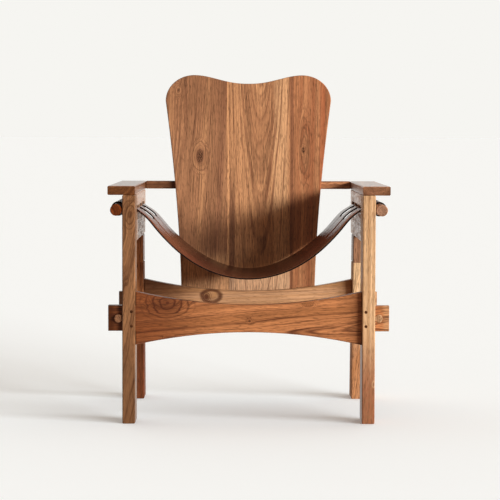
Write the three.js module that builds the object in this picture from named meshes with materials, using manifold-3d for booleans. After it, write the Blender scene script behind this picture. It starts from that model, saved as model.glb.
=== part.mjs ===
// A lounge chair with a leather sling seat between two slotted side frames.
// Millimetres, +Z up. The chair faces -Y and stands on Z = 0, centred over its footprint.
import * as THREE from "three";
import { mergeVertices } from "three/addons/utils/BufferGeometryUtils.js";
import Module from "manifold-3d";

const wasm = await Module();
wasm.setup();

// Side frames: two flat assemblies of leg, panel, leg and armrest.
const seatWidth = 568; // between the inner faces of the two frames
const frameThickness = 32;
const frameTop = 572.5; // underside of the armrests
const frontLegDepth = 85; // front to back
const rearLegDepth = 90;
const rearFootSetback = 468; // from the chair's front to the rear leg's front face at the floor
const rearLegRake = THREE.MathUtils.degToRad(7.8); // the foot stands further back than the top
const spliceShare = 0.39; // place of the glued joint in a rear leg, from the rail's end up to the panel
const panelHeight = 119.5;
const panelOverhang = 62; // how far a panel runs on behind the sling, along its top
const panelTenonLength = 26; // into the front leg
const panelTenonHeight = 84;
const panelTenonThickness = 11;
const edgeEase = 2; // small chamfer on the edges of every board
const glueGap = 0.3; // between faces that are glued, seated or lie against each other

// Armrests.
const armrestWidth = 68.5;
const armrestThickness = 22.5;

// Seat rails: boards on edge with a dished top and an arched underside.
const railThickness = 29;
const railSetback = 21; // from the front leg's front face to the front rail
const rearRailSetback = 458; // from the chair's front to the rear rail's front face
const railEndTop = 330;
const railMiddleTop = 297;
const railEndBottom = 196;
const railMiddleBottom = 228;
const tenonBottom = 231;
const tenonHeight = 64;
const tenonProud = 36.5; // how far a through tenon stands out of its leg

// Tusk pegs lock the through tenons against the outside of the legs.
const tuskRadius = 10;
const tuskTail = 11; // behind the tenon
const tuskProud = { left: 12, right: 2 }; // in front of the tenon, as each was driven
const tuskChamfer = 1.5;

// Drawbore pins hold the tenons inside the legs, and stand a little proud.
const pinRadius = 3.5;
const pinInset = 9; // from the leg's inner face
const pinSpacing = 36;
const pinLength = 68;
const pinProud = 0.6;

// Dowels and loose tenons hidden in the joints.
const dowelRadius = 5;
const dowelHalfLength = 19;
const dowelChamfer = 0.8;
const legDowelShares = [0.22, 0.55]; // places in the front leg's top, from its front face
const legDowelSpacing = 46;
const spliceTenonThickness = 11;
const spliceTenonWidth = 50;
const spliceTenonHalfLength = 26;

// Back board: three planks edge to edge, leaning against the cross bar.
const recline = THREE.MathUtils.degToRad(8.5);
const boardThickness = 20;
const boardFoot = 236; // height of the board's lower end
const boardFootHalf = 182; // half the board's width at the foot
const boardWidestHalf = 229; // half its width at the shoulders
const boardWidestHeight = 588; // along the board, from the foot to the widest place
const boardLobeHalf = 150; // from the centre line to the top of each lobe
const boardLobeHeight = 72; // from the widest place to the top of a lobe
const boardDip = 24; // how far the top edge dips between the lobes
const sideCurvePower = 1.75; // how late the sides flare
const dipCurvePower = 1.15;
const plankJoints = { left: -51, right: 115 }; // the glue lines, from the centre line
const screwHeadRadius = 4.6;
const screwShankRadius = 2.2;
const screwLength = 34;
const barScrewLength = 50;
const screwOuterPlace = 150; // from the centre line
const screwInnerPlace = 80;
const screwInset = 26; // from the board's foot to the lower screws
const screwGripShare = 0.75; // share of the board's thickness that the bar's screws enter
const housingClear = 1; // beside the board in its housing

// Cross bar between the armrests, behind the back board.
const barHeight = 21;
const barDepth = 35;
const barTenonLength = 20;
const barTenonThickness = 9;

// Leather sling: one hide, its ends cut into three straps that loop round the rods.
const leatherThickness = 3.5;
const slingWidth = 385; // front to back
const slingSetback = 100; // from the chair's front to the hide's front edge
const slingRailHeight = 60.5; // from the rails' dished tops up to the middle of the hide
const slitReach = 40; // from a frame's inner face to the inner end of the slits
const slitReachDrop = 38; // from the slots down to the hide there
const slitNarrow = 3; // slit width at its inner end
const slitWide = 24; // and at the panel, between the straps
const slotHeight = 15; // in the side panels
const slotDrop = 37.5; // from the armrests' underside to the slots' centre lines
const slotSpare = slotHeight / 2; // room at each end of a strap, so that it lies clear of the round ends
const strapEntrySlope = 0.6; // rise over run where a strap enters its slot
const strapTuck = 26; // length of the strap's returned end inside the panel
const roundShare = 0.85; // share of the hide's drop that follows a plain parabola

// Rods outside the panels.
const rodRadius = 14.5;
const rodFrontInset = 3; // from the armrest's front edge
const rodRearInset = 8;
const rodChamfer = 1.2;

// Steps along curves.
const railSteps = 18;
const boardSteps = 14;
const slingSteps = 22;
const loopSteps = 24;
const roundSides = 12;
const tuskSides = 24;
const rodSides = 28;

const cutOver = 5; // overrun of a cut past the face it opens

// Places that follow from the sizes above.
const innerHalf = seatWidth / 2;
const frameHalf = frameThickness / 2;
const frameMiddle = innerHalf + frameHalf;
const outerHalf = innerHalf + frameThickness;
const panelBottom = frameTop - panelHeight;
const spliceHeight = railEndTop + spliceShare * (panelBottom - railEndTop);
const slotCentre = frameTop - slotDrop;
const slitReachHeight = slotCentre - slitReachDrop;
const slingLow = railMiddleTop + slingRailHeight;
const panelTenonFoot = panelBottom + (panelHeight - panelTenonHeight) / 2;
const panelRear = slingSetback + slingWidth + panelOverhang;
const armrestTop = frameTop + armrestThickness;
const rearRailBack = rearRailSetback + railThickness;
const tenonMiddle = tenonBottom + tenonHeight / 2;
const pinHeights = [tenonMiddle - pinSpacing / 2, tenonMiddle + pinSpacing / 2];
const tuskMiddle = outerHalf + glueGap + tuskRadius;
const strapCount = 3;
const strapWidth = (slingWidth - (strapCount - 1) * slitWide) / strapCount;

// A loop beds on the eased lips of its slot, so the rods stand a little closer than the panel's face.
const loopRadius = rodRadius + glueGap + leatherThickness;
const rodMiddle = outerHalf + Math.sqrt((loopRadius + glueGap) ** 2 - (slotHeight / 2 + edgeEase) ** 2);
const rearLegFront = (height) => rearFootSetback - height * Math.tan(rearLegRake);
const spliceMiddle = rearLegFront(spliceHeight) + rearLegDepth / 2;
const railShare = (x) => (x / innerHalf) ** 2;
const railTopAt = (x) => railMiddleTop + (railEndTop - railMiddleTop) * railShare(x);

// The board's front face meets the rear rail's back face at the rail's top edge, and is let into it below.
const boardSeatHeight = railTopAt(boardFootHalf);
const boardFootSetback = rearRailBack + glueGap - (boardSeatHeight - boardFoot) * Math.tan(recline);
const boardBackAt = (height) =>
  boardFootSetback + (height - boardFoot) * Math.tan(recline) + boardThickness / Math.cos(recline);
const barTop = armrestTop;
const barBottom = barTop - barHeight;
const barFrontTop = boardBackAt(barTop) + glueGap;
const barFrontBottom = boardBackAt(barBottom) + glueGap;
const armrestLength = barFrontTop + barDepth;
const barTenonBottom = barBottom + (barHeight - barTenonThickness) / 2;
const barTenonFront = barFrontTop + edgeEase;
const barTenonBack = armrestLength - 2 * edgeEase;

// Materials.
const wood = (colour) => ({ color: colour, roughness: 0.5, metalness: 0 });
const teakLeg = wood(0xa97c50);
const teakLegUpper = wood(0x8a5a3a);
const teakPanel = wood(0x9a8270);
const teakArm = wood(0x95683f);
const teakRail = wood(0xb0713f);
const teakBoard = wood(0xa8744a);
const teakBoardRed = wood(0x9c5f3d);
const teakPeg = wood(0xb58a62);
const darkPin = wood(0x4a2c1a);
const hide = { color: 0x4a2a1f, roughness: 0.45, metalness: 0 };
const brass = { color: 0xb08d4a, roughness: 0.35, metalness: 1 };

const Y_TO_Z = new THREE.Matrix4().makeRotationX(Math.PI / 2);

// Turns a drawing in (front-to-back, height) so that its thickness lies along X.
const SIDE_VIEW = new THREE.Matrix4().makeBasis(
  new THREE.Vector3(0, 1, 0),
  new THREE.Vector3(0, 0, 1),
  new THREE.Vector3(1, 0, 0),
);
// Turns a drawing in (across, height) so that its thickness lies along -Y.
const FRONT_VIEW = new THREE.Matrix4().makeBasis(
  new THREE.Vector3(1, 0, 0),
  new THREE.Vector3(0, 0, 1),
  new THREE.Vector3(0, -1, 0),
);

// Booleans.
function toSolid(geometry) {
  const plain = new THREE.BufferGeometry();
  const source = geometry.index ? geometry.toNonIndexed() : geometry;
  plain.setAttribute("position", source.getAttribute("position"));
  const merged = mergeVertices(plain, 1e-4);
  return new wasm.Manifold(
    new wasm.Mesh({
      numProp: 3,
      vertProperties: merged.attributes.position.array,
      triVerts: new Uint32Array(merged.index.array),
    }),
  );
}

function toGeometry(solid) {
  const mesh = solid.getMesh();
  const geometry = new THREE.BufferGeometry();
  geometry.setAttribute("position", new THREE.BufferAttribute(new Float32Array(mesh.vertProperties), 3));
  geometry.setIndex(new THREE.BufferAttribute(new Uint32Array(mesh.triVerts), 1));
  geometry.computeVertexNormals();
  return geometry;
}

// Joins the first list of geometries and takes the second list away.
function carve(kept, removed = []) {
  let solid = kept.map(toSolid).reduce((a, b) => a.add(b));
  for (const tool of removed) {
    solid = solid.subtract(toSolid(tool));
  }
  return toGeometry(solid);
}

const overlapOf = (a, b) => toGeometry(toSolid(a).intersect(toSolid(b)));

// Shapes.
function outline(points) {
  return new THREE.Shape(points.map(([x, y]) => new THREE.Vector2(x, y)));
}

function rectangle(x0, y0, x1, y1) {
  return outline([[x0, y0], [x1, y0], [x1, y1], [x0, y1]]);
}

// A board of the given outline with eased edges, in the drawing's own plane, from 0 to its thickness.
function easedBoard(shape, thickness, ease = edgeEase, curveSegments = railSteps) {
  const geometry = new THREE.ExtrudeGeometry(shape, {
    depth: thickness - 2 * ease,
    bevelEnabled: ease > 0,
    bevelThickness: ease,
    bevelSize: ease,
    bevelOffset: -ease,
    bevelSegments: 1,
    curveSegments,
  });
  return geometry.translate(0, 0, ease);
}

function block(x0, y0, z0, x1, y1, z1) {
  const geometry = new THREE.BoxGeometry(x1 - x0, y1 - y0, z1 - z0);
  return geometry.translate((x0 + x1) / 2, (y0 + y1) / 2, (z0 + z1) / 2);
}

// A round bar along +Y from 0 to its length, with chamfered ends.
function turned(radius, length, chamfer, sides) {
  const profile = [
    new THREE.Vector2(0, 0),
    new THREE.Vector2(radius - chamfer, 0),
    new THREE.Vector2(radius, chamfer),
    new THREE.Vector2(radius, length - chamfer),
    new THREE.Vector2(radius - chamfer, length),
    new THREE.Vector2(0, length),
  ];
  return new THREE.LatheGeometry(profile, sides);
}

// A hole for a turned bar: its flats clear the bar by the glue gap.
function bore(radius, length, sides = roundSides) {
  const cornerRadius = (radius + glueGap) / Math.cos(Math.PI / sides);
  return new THREE.CylinderGeometry(cornerRadius, cornerRadius, length, sides).translate(0, length / 2, 0);
}

function namedMesh(name, geometry, look) {
  const mesh = new THREE.Mesh(geometry, new THREE.MeshStandardMaterial(look));
  mesh.name = name;
  return mesh;
}

function place(object, x, y, z) {
  object.position.set(x, y, z);
  return object;
}

// The hole that a through tenon needs in a leg, about the frame's middle plane.
function tenonMortise(front) {
  return block(
    -frameHalf - cutOver,
    front - glueGap,
    tenonBottom - glueGap,
    frameHalf + cutOver,
    front + railThickness + glueGap,
    tenonBottom + tenonHeight + glueGap,
  );
}

// Places of the dowels under an armrest, from the chair's front: two in the leg, three between slots.
const slotStart = (index) => slingSetback + index * (strapWidth + slitWide) - slotSpare;
const slotLength = strapWidth + 2 * slotSpare;
const armDowelPlaces = [
  frontLegDepth * legDowelShares[0],
  frontLegDepth * legDowelShares[1],
  slotStart(1) - slitWide / 2 + slotSpare,
  slotStart(2) - slitWide / 2 + slotSpare,
  (slotStart(2) + slotLength + panelRear) / 2,
];
const armDowelInLeg = (place) => place < frontLegDepth;

function uprightBore(place, height) {
  return bore(dowelRadius, 2 * (dowelHalfLength + glueGap))
    .applyMatrix4(Y_TO_Z)
    .translate(0, place, height - dowelHalfLength - glueGap);
}

const legTopMiddle = rearLegFront(panelBottom) + rearLegDepth / 2;
const legDowelPlaces = [legTopMiddle - legDowelSpacing / 2, legTopMiddle + legDowelSpacing / 2];

function frontLeg(sign) {
  const board = easedBoard(rectangle(0, 0, frontLegDepth, frameTop - glueGap), frameThickness)
    .applyMatrix4(SIDE_VIEW)
    .translate(-frameHalf, 0, 0);
  const panelMortise = block(
    -panelTenonThickness / 2 - glueGap,
    frontLegDepth - panelTenonLength - glueGap,
    panelTenonFoot - glueGap,
    panelTenonThickness / 2 + glueGap,
    frontLegDepth + cutOver,
    panelTenonFoot + panelTenonHeight + glueGap,
  );
  const pinAcross = sign * (pinInset - frameHalf);
  const pinHoles = pinHeights.map((height) =>
    bore(pinRadius, pinLength + cutOver).translate(pinAcross, -cutOver, height),
  );
  const dowelHoles = armDowelPlaces.filter(armDowelInLeg).map((place) => uprightBore(place, frameTop));
  return carve([board], [tenonMortise(railSetback), panelMortise, ...pinHoles, ...dowelHoles]);
}

// Outline of a raked rear leg between two heights.
function rakedOutline(low, high) {
  return outline([
    [rearLegFront(low), low],
    [rearLegFront(low) + rearLegDepth, low],
    [rearLegFront(high) + rearLegDepth, high],
    [rearLegFront(high), high],
  ]);
}

function spliceMortise() {
  const half = spliceTenonWidth / 2 + glueGap;
  const reach = spliceTenonHalfLength + glueGap;
  const wall = spliceTenonThickness / 2 + glueGap;
  return new THREE.BoxGeometry(2 * wall, 2 * half, 2 * reach).translate(0, spliceMiddle, spliceHeight);
}

function rearLeg(sign) {
  const board = easedBoard(rakedOutline(0, spliceHeight - glueGap / 2), frameThickness)
    .applyMatrix4(SIDE_VIEW)
    .translate(-frameHalf, 0, 0);
  const pinAcross = sign * (pinInset - frameHalf);
  const pinHoles = pinHeights.map((height) => {
    const back = rearLegFront(height) + rearLegDepth;
    return bore(pinRadius, pinLength + cutOver).translate(pinAcross, back - pinLength, height);
  });
  return carve([board], [tenonMortise(rearRailSetback), spliceMortise(), ...pinHoles]);
}

function rearLegUpper() {
  const board = easedBoard(rakedOutline(spliceHeight + glueGap / 2, panelBottom - glueGap), frameThickness)
    .applyMatrix4(SIDE_VIEW)
    .translate(-frameHalf, 0, 0);
  const dowelHoles = legDowelPlaces.map((place) => uprightBore(place, panelBottom));
  return carve([board], [spliceMortise(), ...dowelHoles]);
}

// A routed slot with round ends, as a hole in the panel's drawing.
function slotHole(start) {
  const radius = slotHeight / 2;
  const hole = new THREE.Path();
  hole.absarc(start + radius, slotCentre, radius, -Math.PI / 2, (-3 * Math.PI) / 2, true);
  hole.absarc(start + slotLength - radius, slotCentre, radius, Math.PI / 2, -Math.PI / 2, true);
  return hole;
}

function sidePanel() {
  const front = frontLegDepth + glueGap;
  const top = frameTop - glueGap;
  const lean = (top - panelBottom) * Math.tan(recline);
  const shape = outline([
    [front, panelBottom],
    [panelRear - lean, panelBottom],
    [panelRear, top],
    [front, top],
  ]);
  for (let strap = 0; strap < strapCount; strap += 1) {
    shape.holes.push(slotHole(slotStart(strap)));
  }
  const board = easedBoard(shape, frameThickness, edgeEase, roundSides / 2)
    .applyMatrix4(SIDE_VIEW)
    .translate(-frameHalf, 0, 0);
  const tenon = block(
    -panelTenonThickness / 2,
    frontLegDepth - panelTenonLength,
    panelTenonFoot,
    panelTenonThickness / 2,
    front + edgeEase,
    panelTenonFoot + panelTenonHeight,
  );
  const dowelHoles = [
    ...armDowelPlaces.filter((place) => !armDowelInLeg(place)).map((place) => uprightBore(place, frameTop)),
    ...legDowelPlaces.map((place) => uprightBore(place, panelBottom)),
  ];
  return carve([board, tenon], dowelHoles);
}

// The armrest lies on leg and panel, flush with their inner face. Its own x runs outward.
function armrest(sign) {
  const inner = -frameHalf;
  const outer = inner + armrestWidth;
  const edges = sign > 0 ? [inner, outer] : [-outer, -inner];
  const board = easedBoard(rectangle(edges[0], 0, edges[1], armrestLength), armrestThickness).translate(
    0,
    0,
    frameTop,
  );
  const mortiseEnd = inner + barTenonLength + glueGap;
  const mortise = block(
    sign > 0 ? inner - cutOver : -mortiseEnd,
    barTenonFront - glueGap,
    barTenonBottom - glueGap,
    sign > 0 ? mortiseEnd : -inner + cutOver,
    barTenonBack + glueGap,
    barTenonBottom + barTenonThickness + glueGap,
  );
  const dowelHoles = armDowelPlaces.map((place) => armBore(place));
  return carve([board], [mortise, ...dowelHoles]);
}

const armDowelReach = armrestThickness / 2;
const armBore = (place) =>
  bore(dowelRadius, armDowelReach + cutOver + glueGap)
    .applyMatrix4(Y_TO_Z)
    .translate(0, place, frameTop - cutOver);

// A dowel that stands in the frame's top and reaches half into the armrest.
function armDowel() {
  return turned(dowelRadius, dowelHalfLength + armDowelReach, dowelChamfer, roundSides)
    .applyMatrix4(Y_TO_Z)
    .translate(0, 0, -dowelHalfLength);
}

function legDowel() {
  return turned(dowelRadius, 2 * dowelHalfLength, dowelChamfer, roundSides)
    .applyMatrix4(Y_TO_Z)
    .translate(0, 0, -dowelHalfLength);
}

function spliceTenon() {
  return block(
    -spliceTenonThickness / 2,
    -spliceTenonWidth / 2,
    -spliceTenonHalfLength,
    spliceTenonThickness / 2,
    spliceTenonWidth / 2,
    spliceTenonHalfLength,
  );
}

const sides = [
  { name: "left", sign: -1 },
  { name: "right", sign: 1 },
];

function sideFrame({ name, sign }) {
  const group = new THREE.Group();
  group.position.x = sign * frameMiddle;
  group.add(namedMesh(`front_leg_${name}`, frontLeg(sign), teakLeg));
  group.add(namedMesh(`rear_leg_${name}`, rearLeg(sign), teakLeg));
  group.add(namedMesh(`rear_leg_upper_${name}`, rearLegUpper(), teakLegUpper));
  group.add(namedMesh(`side_panel_${name}`, sidePanel(), teakPanel));
  group.add(namedMesh(`armrest_${name}`, armrest(sign), teakArm));
  group.add(place(namedMesh(`splice_tenon_${name}`, spliceTenon(), teakPeg), 0, spliceMiddle, spliceHeight));
  armDowelPlaces.forEach((y, index) => {
    group.add(place(namedMesh(`arm_dowel_${name}_${index + 1}`, armDowel(), teakPeg), 0, y, frameTop));
  });
  legDowelPlaces.forEach((y, index) => {
    group.add(place(namedMesh(`leg_dowel_${name}_${index + 1}`, legDowel(), teakPeg), 0, y, panelBottom));
  });
  return group;
}

// Outline of a seat rail between its shoulders, in (across, height).
function railOutline() {
  const half = innerHalf - glueGap;
  const shape = new THREE.Shape();
  shape.moveTo(-half, railEndBottom);
  shape.quadraticCurveTo(0, 2 * railMiddleBottom - railEndBottom, half, railEndBottom);
  shape.lineTo(half, railEndTop);
  shape.quadraticCurveTo(0, 2 * railMiddleTop - railEndTop, -half, railEndTop);
  return shape;
}

// A rail with its two through tenons, its front face at y = 0.
function seatRail(extraCuts = []) {
  const board = easedBoard(railOutline(), railThickness)
    .applyMatrix4(FRONT_VIEW)
    .translate(0, railThickness, 0);
  const reach = outerHalf + tenonProud;
  const tenonEnds = sides.map(({ sign }) => {
    const root = sign * (innerHalf - edgeEase - glueGap);
    const tip = sign * reach;
    return easedBoard(
      rectangle(Math.min(root, tip), tenonBottom, Math.max(root, tip), tenonBottom + tenonHeight),
      railThickness,
      edgeEase / 2,
    )
      .applyMatrix4(FRONT_VIEW)
      .translate(0, railThickness, 0);
  });
  const through = railThickness + 2 * cutOver;
  const cuts = sides.flatMap(({ sign }) => [
    bore(tuskRadius, through, tuskSides).translate(sign * tuskMiddle, -cutOver, tenonMiddle),
    ...pinHeights.map((height) =>
      bore(pinRadius, through).translate(sign * (innerHalf + pinInset), -cutOver, height),
    ),
  ]);
  return carve([board, ...tenonEnds], [...cuts, ...extraCuts]);
}

// The tapered housing in the rear rail's back face that takes the foot of the back board.
function boardHousing() {
  const half = boardFootHalf + housingClear;
  return block(-half, -glueGap, -glueGap, half, boardThickness + cutOver, boardWidestHeight)
    .rotateX(-recline)
    .translate(0, boardFootSetback - rearRailSetback, boardFoot);
}

function tuskPeg(side) {
  const length = tuskProud[side] + railThickness + tuskTail;
  return turned(tuskRadius, length, tuskChamfer, tuskSides).translate(0, -tuskProud[side], 0);
}

function rails() {
  const group = new THREE.Group();
  group.add(place(namedMesh("front_seat_rail", seatRail(), teakRail), 0, railSetback, 0));
  const toRail = (hole) => fromBackrest(hole).translate(0, -rearRailSetback, 0);
  const rearRail = seatRail([boardHousing(), ...lowerScrewHoles().map(toRail)]);
  group.add(place(namedMesh("rear_seat_rail", rearRail, teakRail), 0, rearRailSetback, 0));
  for (const { name, sign } of sides) {
    const across = sign * tuskMiddle;
    const frontPeg = namedMesh(`tusk_peg_front_${name}`, tuskPeg(name), teakPeg);
    group.add(place(frontPeg, across, railSetback, tenonMiddle));
    const rearPeg = namedMesh(`tusk_peg_rear_${name}`, tuskPeg(name), teakPeg);
    rearPeg.rotation.z = Math.PI;
    group.add(place(rearPeg, across, rearRailBack, tenonMiddle));
    pinHeights.forEach((height, index) => {
      const pinAcross = sign * (innerHalf + pinInset);
      const pin = () => turned(pinRadius, pinLength + pinProud - glueGap, pinProud, roundSides);
      const frontPin = namedMesh(`drawbore_pin_front_${name}_${index + 1}`, pin(), darkPin);
      group.add(place(frontPin, pinAcross, -pinProud, height));
      const rearPin = namedMesh(`drawbore_pin_rear_${name}_${index + 1}`, pin(), darkPin);
      rearPin.rotation.z = Math.PI;
      group.add(place(rearPin, pinAcross, rearLegFront(height) + rearLegDepth + pinProud, height));
    });
  }
  return group;
}

// Outline of the back board in its own plane, from the foot up.
function boardOutline() {
  const rightSide = [];
  for (let step = 0; step <= boardSteps; step += 1) {
    const share = step / boardSteps;
    const half = boardFootHalf + (boardWidestHalf - boardFootHalf) * share ** sideCurvePower;
    rightSide.push([half, share * boardWidestHeight]);
  }
  for (let step = 1; step <= boardSteps; step += 1) {
    const turn = ((step / boardSteps) * Math.PI) / 2;
    const half = boardLobeHalf + (boardWidestHalf - boardLobeHalf) * Math.cos(turn);
    rightSide.push([half, boardWidestHeight + boardLobeHeight * Math.sin(turn)]);
  }
  for (let step = boardSteps - 1; step > 0; step -= 1) {
    const share = (step / boardSteps) ** dipCurvePower;
    const drop = (boardDip * (1 + Math.cos(Math.PI * share))) / 2;
    rightSide.push([(boardLobeHalf * step) / boardSteps, boardWidestHeight + boardLobeHeight - drop]);
  }
  const dipPoint = [[0, boardWidestHeight + boardLobeHeight - boardDip]];
  const leftSide = rightSide.map(([x, y]) => [-x, y]).reverse();
  return outline([...rightSide, ...dipPoint, ...leftSide]);
}

// A countersunk screw along +Y with its head's face at y = 0, and the hole it sits in.
function screwProfile(length, grow) {
  const head = screwHeadRadius + grow;
  const shank = screwShankRadius + grow;
  return [
    new THREE.Vector2(0, 0),
    new THREE.Vector2(head, 0),
    new THREE.Vector2(shank, head - shank),
    new THREE.Vector2(shank, length - shank + grow),
    new THREE.Vector2(0, length + grow),
  ];
}

const screw = (length) => new THREE.LatheGeometry(screwProfile(length, 0), roundSides);
const screwHole = (length) => {
  const mouth = screwHeadRadius + 2 * glueGap;
  const cone = new THREE.LatheGeometry(screwProfile(length, 2 * glueGap), roundSides);
  const opening = new THREE.CylinderGeometry(mouth, mouth, cutOver, roundSides).translate(0, -cutOver / 2, 0);
  return toGeometry(toSolid(cone).add(toSolid(opening)));
};

const screwPlaces = [-screwOuterPlace, -screwInnerPlace, screwInnerPlace, screwOuterPlace];

// Lower screws enter the board's back face and run forward; upper ones enter the bar's back.
const lowerScrewAt = (x) => ({ x, y: boardThickness, z: screwInset });
const barMiddle = (barTop + barBottom) / 2;
const barMiddleAlong = (barMiddle - boardFoot) / Math.cos(recline) - boardThickness * Math.tan(recline);
const upperScrewAt = (x) => ({ x, y: boardThickness + barScrewDepth, z: barMiddleAlong });
const barScrewDepth = barScrewLength - boardThickness * screwGripShare;

const forwardAt = (geometry, { x, y, z }) => geometry.rotateZ(Math.PI).translate(x, y, z);

const lowerScrewHoles = () => screwPlaces.map((x) => forwardAt(screwHole(screwLength), lowerScrewAt(x)));
const upperScrewHoles = () => screwPlaces.map((x) => forwardAt(screwHole(barScrewLength), upperScrewAt(x)));

function backrest() {
  const group = new THREE.Group();
  group.position.set(0, boardFootSetback, boardFoot);
  group.rotation.x = -recline;
  const board = easedBoard(boardOutline(), boardThickness)
    .applyMatrix4(FRONT_VIEW)
    .translate(0, boardThickness, 0);
  const drilled = carve([board], [...lowerScrewHoles(), ...upperScrewHoles()]);
  const height = boardWidestHeight + boardLobeHeight + cutOver;
  const beyond = boardWidestHalf + cutOver;
  const planks = [
    { name: "left", from: -beyond, to: plankJoints.left, look: teakBoard },
    { name: "middle", from: plankJoints.left, to: plankJoints.right, look: teakBoard },
    { name: "right", from: plankJoints.right, to: beyond, look: teakBoardRed },
  ];
  for (const { name, from, to, look } of planks) {
    const [start, end] = [from + glueGap / 2, to - glueGap / 2];
    const strip = block(start, -cutOver, -cutOver, end, boardThickness + cutOver, height);
    group.add(namedMesh(`back_plank_${name}`, overlapOf(drilled, strip), look));
  }
  screwPlaces.forEach((x, index) => {
    const lower = forwardAt(screw(screwLength), lowerScrewAt(x));
    group.add(namedMesh(`back_screw_lower_${index + 1}`, lower, brass));
    const upper = forwardAt(screw(barScrewLength), upperScrewAt(x));
    group.add(namedMesh(`back_screw_upper_${index + 1}`, upper, brass));
  });
  return group;
}

// Moves geometry from the backrest's leaning frame into the chair's.
const fromBackrest = (geometry) => geometry.rotateX(-recline).translate(0, boardFootSetback, boardFoot);

function backBar() {
  const half = innerHalf - glueGap;
  const section = outline([
    [barFrontBottom, barBottom],
    [armrestLength, barBottom],
    [armrestLength, barTop],
    [barFrontTop, barTop],
  ]);
  const bar = easedBoard(section, 2 * half).applyMatrix4(SIDE_VIEW).translate(-half, 0, 0);
  const reach = innerHalf + barTenonLength;
  const tenons = block(
    -reach,
    barTenonFront,
    barTenonBottom,
    reach,
    barTenonBack,
    barTenonBottom + barTenonThickness,
  );
  return namedMesh("back_bar", carve([bar, tenons], upperScrewHoles().map(fromBackrest)), teakArm);
}

// Height of the hide's middle surface, from the centre line out to the panel's inner face.
function hideHeight(x) {
  const slitEnd = innerHalf - slitReach;
  const drop = slitReachHeight - slingLow;
  const ratio = x / slitEnd;
  if (ratio <= 1) {
    return slingLow + drop * (roundShare * ratio ** 2 + (1 - roundShare) * ratio ** 4);
  }
  const startSlope = (drop * (2 * roundShare + 4 * (1 - roundShare))) / slitEnd;
  const t = (x - slitEnd) / slitReach;
  const rise = slotCentre - slitReachHeight;
  const late = t ** 2 * (3 - 2 * t);
  const leaving = t * (1 - t) ** 2 * startSlope * slitReach;
  const entering = t ** 2 * (1 - t) * strapEntrySlope * slitReach;
  return slitReachHeight + rise * late + leaving - entering;
}

// Points of the hide's middle line from the left panel to the right one, then offset to both faces.
function hideFaces() {
  const points = [];
  const count = 2 * slingSteps;
  for (let step = 0; step <= count; step += 1) {
    const x = innerHalf * (step / slingSteps - 1);
    points.push(new THREE.Vector2(x, hideHeight(Math.abs(x))));
  }
  const offset = (side) =>
    points.map((point, index) => {
      const before = points[Math.max(index - 1, 0)];
      const after = points[Math.min(index + 1, count)];
      const along = after.clone().sub(before).normalize();
      const half = (side * leatherThickness) / 2;
      return [point.x - along.y * half, point.y + along.x * half];
    });
  return { upper: offset(1), lower: offset(-1) };
}

// One loop round a rod with the doubled strap that runs through the panel, in (across, height).
function loopSolid(sign) {
  const ring = new THREE.Shape().absarc(sign * rodMiddle, slotCentre, loopRadius, 0, 2 * Math.PI, false);
  const boreRadius = (rodRadius + glueGap) / Math.cos(Math.PI / rodSides);
  ring.holes.push(new THREE.Path().absarc(sign * rodMiddle, slotCentre, boreRadius, 0, 2 * Math.PI, true));
  const doubled = rectangle(
    Math.min(sign * (outerHalf - strapTuck), sign * (rodMiddle - rodRadius - glueGap)),
    slotCentre - leatherThickness,
    Math.max(sign * (outerHalf - strapTuck), sign * (rodMiddle - rodRadius - glueGap)),
    slotCentre + leatherThickness,
  );
  const single = rectangle(
    Math.min(sign * (innerHalf - glueGap), sign * outerHalf),
    slotCentre - leatherThickness / 2,
    Math.max(sign * (innerHalf - glueGap), sign * outerHalf),
    slotCentre + leatherThickness / 2,
  );
  const flat = (shape) => easedBoard(shape, slingWidth, 0, loopSteps / 2);
  const bored = toSolid(flat(ring));
  return bored.add(toSolid(flat(doubled))).add(toSolid(flat(single)));
}

// A slit from its narrow inner end to the strap's end, seen from above.
function slitCut(sign, index) {
  const middle = -(strapWidth * (index + 1) + slitWide * (index + 0.5));
  const tip = sign * (innerHalf - slitReach);
  const face = sign * innerHalf;
  const end = sign * (rodMiddle + 2 * rodRadius);
  const points = [
    [tip, middle - slitNarrow / 2],
    [face, middle - slitWide / 2],
    [end, middle - slitWide / 2],
    [end, middle + slitWide / 2],
    [face, middle + slitWide / 2],
    [tip, middle + slitNarrow / 2],
  ];
  const shape = outline(sign > 0 ? points : points.reverse());
  return easedBoard(shape, frameTop - slingLow, 0).translate(0, 0, slingLow);
}

function leatherSling() {
  const { upper, lower } = hideFaces();
  const body = toSolid(easedBoard(outline([...lower, ...upper.reverse()]), slingWidth, 0));
  let solid = body;
  for (const { sign } of sides) {
    solid = solid.add(loopSolid(sign));
  }
  const hideGeometry = toGeometry(solid).applyMatrix4(FRONT_VIEW);
  const slits = sides.flatMap(({ sign }) =>
    Array.from({ length: strapCount - 1 }, (_, index) => slitCut(sign, index)),
  );
  return carve([hideGeometry], slits).translate(0, slingWidth, 0);
}

function seat() {
  const group = new THREE.Group();
  group.add(place(namedMesh("leather_sling", leatherSling(), hide), 0, slingSetback, 0));
  for (const { name, sign } of sides) {
    const length = armrestLength - rodFrontInset - rodRearInset;
    const rod = namedMesh(`sling_rod_${name}`, turned(rodRadius, length, rodChamfer, rodSides), teakPeg);
    group.add(place(rod, sign * rodMiddle, rodFrontInset, slotCentre));
  }
  return group;
}

const chair = new THREE.Group();
for (const side of sides) {
  chair.add(sideFrame(side));
}
chair.add(rails(), backrest(), backBar(), seat());

// The origin is on the floor, under the middle of the chair's depth.
const extent = new THREE.Box3().setFromObject(chair, true);
chair.position.y = -(extent.min.y + extent.max.y) / 2;

export default chair;
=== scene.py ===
"""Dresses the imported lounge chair: oiled teak side frames, rails and back board, and a leather sling."""

import math

import bmesh
import bpy
from bpy.props import FloatProperty, FloatVectorProperty, PointerProperty
from mathutils import Matrix, Vector, noise


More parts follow.
